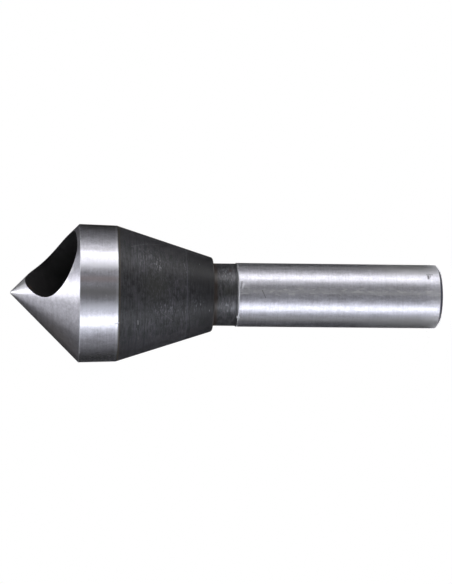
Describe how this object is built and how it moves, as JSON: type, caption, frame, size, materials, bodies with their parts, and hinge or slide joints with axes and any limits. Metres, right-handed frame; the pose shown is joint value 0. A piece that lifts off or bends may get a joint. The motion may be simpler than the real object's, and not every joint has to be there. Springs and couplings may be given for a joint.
{
  "type": "countersink bit",
  "caption": "Countersink bit: a right-angled cone point with a slanting chip hole through the head, a tapered body, a short neck and a plain round shank.",
  "frame": {"origin": "centre of the flat end of the shank, which the tool stands on", "axes": "+Z along the tool's axis from the shank to the tip, +X towards the side where the chip hole opens in the cone"},
  "size_m": [0.0205, 0.0204, 0.0642],
  "materials": {
    "tool_steel": "ground bright on the cone, the land and the shank, black oxide on the body, the neck, the chip hole and the shank's end"
  },
  "bodies": {
    "root": {"countersink_bit": "tool_steel"}
  },
  "joints": []
}
